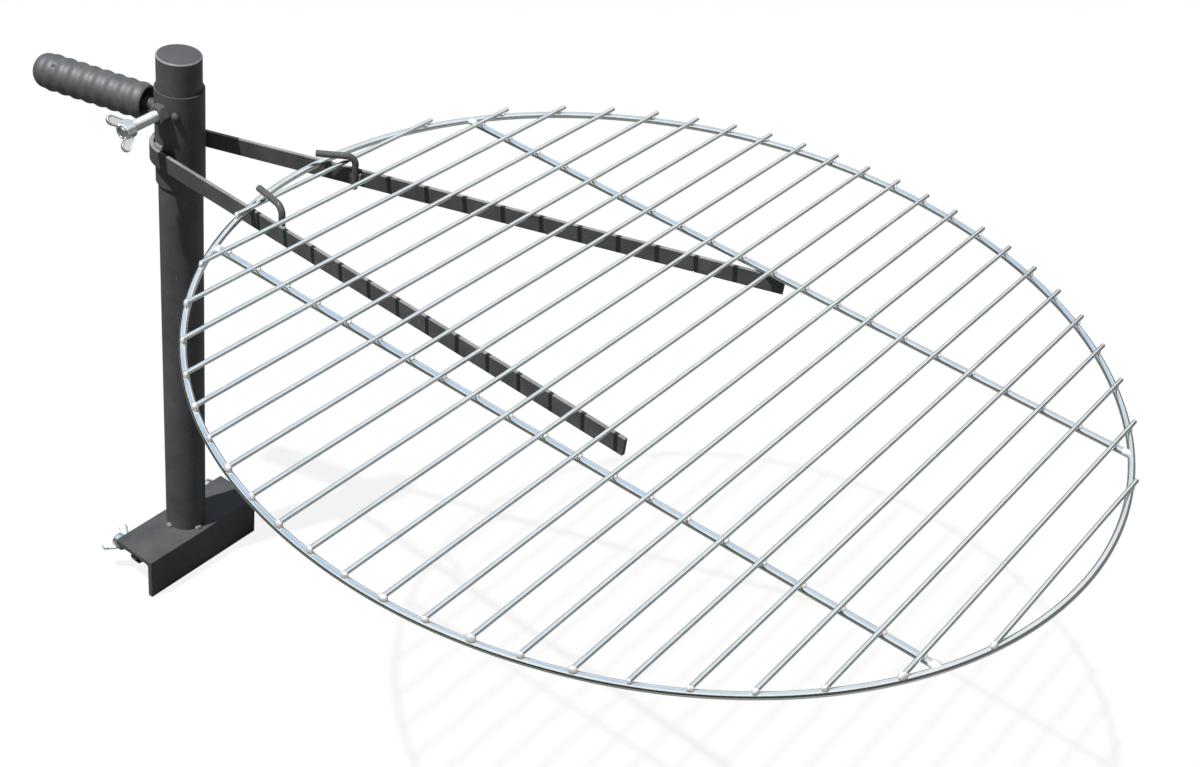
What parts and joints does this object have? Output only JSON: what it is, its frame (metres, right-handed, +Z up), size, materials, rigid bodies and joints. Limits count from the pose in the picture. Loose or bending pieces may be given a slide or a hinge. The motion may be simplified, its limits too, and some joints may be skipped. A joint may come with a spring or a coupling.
{
  "type": "fire pit grill grate",
  "caption": "Round wire grill grate on two arms that swing round, slide on and lock to a post with a rim clamp.",
  "frame": {"origin": "on the post's axis, on the underside of the clamp's top flange, where it rests on the rim", "axes": "+Z up along the post, +X from the post over the fire pit, +Y to the left"},
  "size_m": [0.8045, 0.615, 0.46],
  "materials": {
    "black_paint": "semi-matte black powder coat",
    "screw_zinc": "bright zinc plate",
    "wire_zinc": "bright zinc-plated wire",
    "grip_rubber": "moulded black rubber"
  },
  "bodies": {
    "foot": {"clamp_angle": "black_paint", "post_tube": "black_paint", "post_welds": "black_paint", "right_clamp_nut": "black_paint", "left_clamp_nut": "black_paint"},
    "cap": {"post_cap": "black_paint"},
    "carriage": {"sleeve": "black_paint", "arm_bar": "black_paint", "left_hook": "black_paint", "right_hook": "black_paint", "arm_welds": "black_paint", "hook_welds": "black_paint", "lock_nut": "black_paint", "lock_welds": "black_paint", "handle_rod": "black_paint", "handle_grip": "grip_rubber"},
    "lock_shank": {"lock_screw": "screw_zinc"},
    "lock_head": {"lock_wing": "screw_zinc"},
    "right_clamp_shank": {"right_clamp_screw": "screw_zinc"},
    "right_clamp_head": {"right_clamp_wing": "screw_zinc"},
    "left_clamp_shank": {"left_clamp_screw": "screw_zinc"},
    "left_clamp_head": {"left_clamp_wing": "screw_zinc"},
    "grate": {"grate_ring": "wire_zinc", "left_cross_bar": "wire_zinc", "right_cross_bar": "wire_zinc", "rod_01": "wire_zinc", "rod_02": "wire_zinc", "rod_03": "wire_zinc", "rod_04": "wire_zinc", "rod_05": "wire_zinc", "rod_06": "wire_zinc", "rod_07": "wire_zinc", "rod_08": "wire_zinc", "rod_09": "wire_zinc", "rod_10": "wire_zinc", "rod_11": "wire_zinc", "rod_12": "wire_zinc", "rod_13": "wire_zinc", "rod_14": "wire_zinc", "rod_15": "wire_zinc", "rod_16": "wire_zinc", "rod_17": "wire_zinc", "rod_18": "wire_zinc", "rod_19": "wire_zinc", "rod_20": "wire_zinc", "rod_21": "wire_zinc", "rod_22": "wire_zinc", "rod_23": "wire_zinc"}
  },
  "joints": [
    {"name": "swing", "type": "hinge", "parent": "foot", "child": "cap", "pos_m": [0, 0, 0.426], "axis": [0, 0, 1], "continuous": true},
    {"name": "height", "type": "slide", "parent": "cap", "child": "carriage", "axis": [0, 0, 1], "range_m": [-0.31, 0.024]},
    {"name": "lock_travel", "type": "slide", "parent": "carriage", "child": "lock_shank", "axis": [0.0663, -0.9978, 0], "range_m": [0, 0.007]},
    {"name": "lock_turn", "type": "hinge", "parent": "lock_shank", "child": "lock_head", "pos_m": [0.00331, -0.04989, 0.3885], "axis": [0.0663, -0.9978, 0], "range_deg": [0, 2045]},
    {"name": "grate_tilt", "type": "hinge", "parent": "carriage", "child": "grate", "pos_m": [0.0866, 0.0495, 0.36265], "axis": [0, -1, 0], "range_deg": [0, 3]},
    {"name": "right_clamp_travel", "type": "slide", "parent": "foot", "child": "right_clamp_shank", "axis": [-1, 0, 0], "range_m": [-0.0005, 0.01]},
    {"name": "right_clamp_turn", "type": "hinge", "parent": "right_clamp_shank", "child": "right_clamp_head", "pos_m": [-0.024, -0.049, -0.00652], "axis": [-1, 0, 0], "range_deg": [-150, 2909]},
    {"name": "left_clamp_travel", "type": "slide", "parent": "foot", "child": "left_clamp_shank", "axis": [-1, 0, 0], "range_m": [-0.0005, 0.01]},
    {"name": "left_clamp_turn", "type": "hinge", "parent": "left_clamp_shank", "child": "left_clamp_head", "pos_m": [-0.024, 0.049, -0.00652], "axis": [-1, 0, 0], "range_deg": [-150, 2909]}
  ],
  "couplings": [
    {"joint": "lock_turn", "follows": "lock_travel", "rad_per_m": 5026.5},
    {"joint": "right_clamp_turn", "follows": "right_clamp_travel", "rad_per_m": 5026.5},
    {"joint": "left_clamp_turn", "follows": "left_clamp_travel", "rad_per_m": 5026.5}
  ]
}
